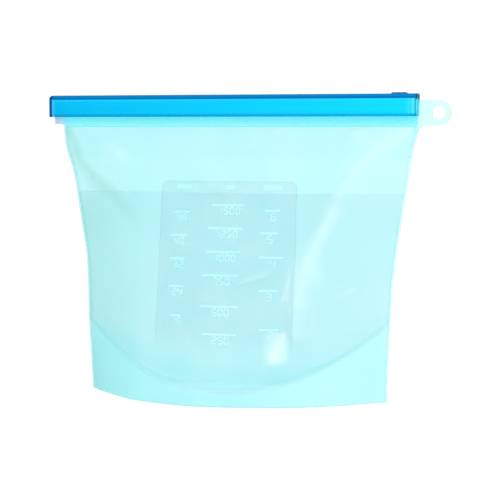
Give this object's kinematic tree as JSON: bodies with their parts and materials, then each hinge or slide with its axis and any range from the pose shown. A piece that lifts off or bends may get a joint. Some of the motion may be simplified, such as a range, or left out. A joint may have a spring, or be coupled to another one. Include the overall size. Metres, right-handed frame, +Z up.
{
  "type": "reusable silicone storage bag",
  "caption": "Stand-up translucent silicone storage bag with a fold-out base, sealing lips, a slide-on closing bar and a hanging tab with an eyelet.",
  "frame": {"origin": "on the floor, in the bag's middle plane, midway between the closed end of the slide bar and the tip of the hanging tab", "axes": "+X towards the hanging tab, +Y to the back, +Z up"},
  "size_m": [0.2358, 0.0756, 0.1749],
  "materials": {
    "silicone": "frosted translucent aqua",
    "silicone_lip": "satin translucent aqua",
    "bar_plastic": "satin translucent blue"
  },
  "bodies": {
    "bag": {"front_wall": "silicone", "back_wall": "silicone", "left_side_seam": "silicone", "right_side_seam": "silicone"},
    "slide_bar": {"slide_bar": "bar_plastic"},
    "front_mouth": {"front_lip": "silicone_lip"},
    "back_mouth": {"back_lip": "silicone_lip"},
    "front_base": {"base_gusset_front": "silicone"},
    "back_base": {"base_gusset_back": "silicone"},
    "hang_tab": {"hang_tab": "silicone"}
  },
  "joints": [
    {"name": "bar_slide", "type": "slide", "parent": "bag", "child": "slide_bar", "axis": [-1, 0, 0], "range_m": [0, 0.222]},
    {"name": "front_lip_open", "type": "slide", "parent": "bag", "child": "front_mouth", "axis": [0, -1, 0], "range_m": [0, 0.014], "deforming": ["front_lip"]},
    {"name": "back_lip_open", "type": "slide", "parent": "bag", "child": "back_mouth", "axis": [0, 1, 0], "range_m": [0, 0.014], "deforming": ["back_lip"]},
    {"name": "base_fold", "type": "slide", "parent": "bag", "child": "front_base", "axis": [0, 1, 0], "range_m": [0, 0.034], "stiffness_N_per_m": 40, "deforming": ["base_gusset_front"]},
    {"name": "base_fold_back", "type": "slide", "parent": "bag", "child": "back_base", "axis": [0, -1, 0], "range_m": [0, 0.034], "deforming": ["base_gusset_back"]},
    {"name": "tab_flex", "type": "hinge", "parent": "bag", "child": "hang_tab", "pos_m": [0.1026, 0, 0.1636], "axis": [0, 0, 1], "range_deg": [-60, 60], "stiffness_Nm_per_rad": 0.01}
  ],
  "couplings": [
    {"joint": "front_lip_open", "follows": "bar_slide", "ratio": 0.063},
    {"joint": "back_lip_open", "follows": "bar_slide", "ratio": 0.063},
    {"joint": "base_fold_back", "follows": "base_fold", "ratio": 1}
  ]
}
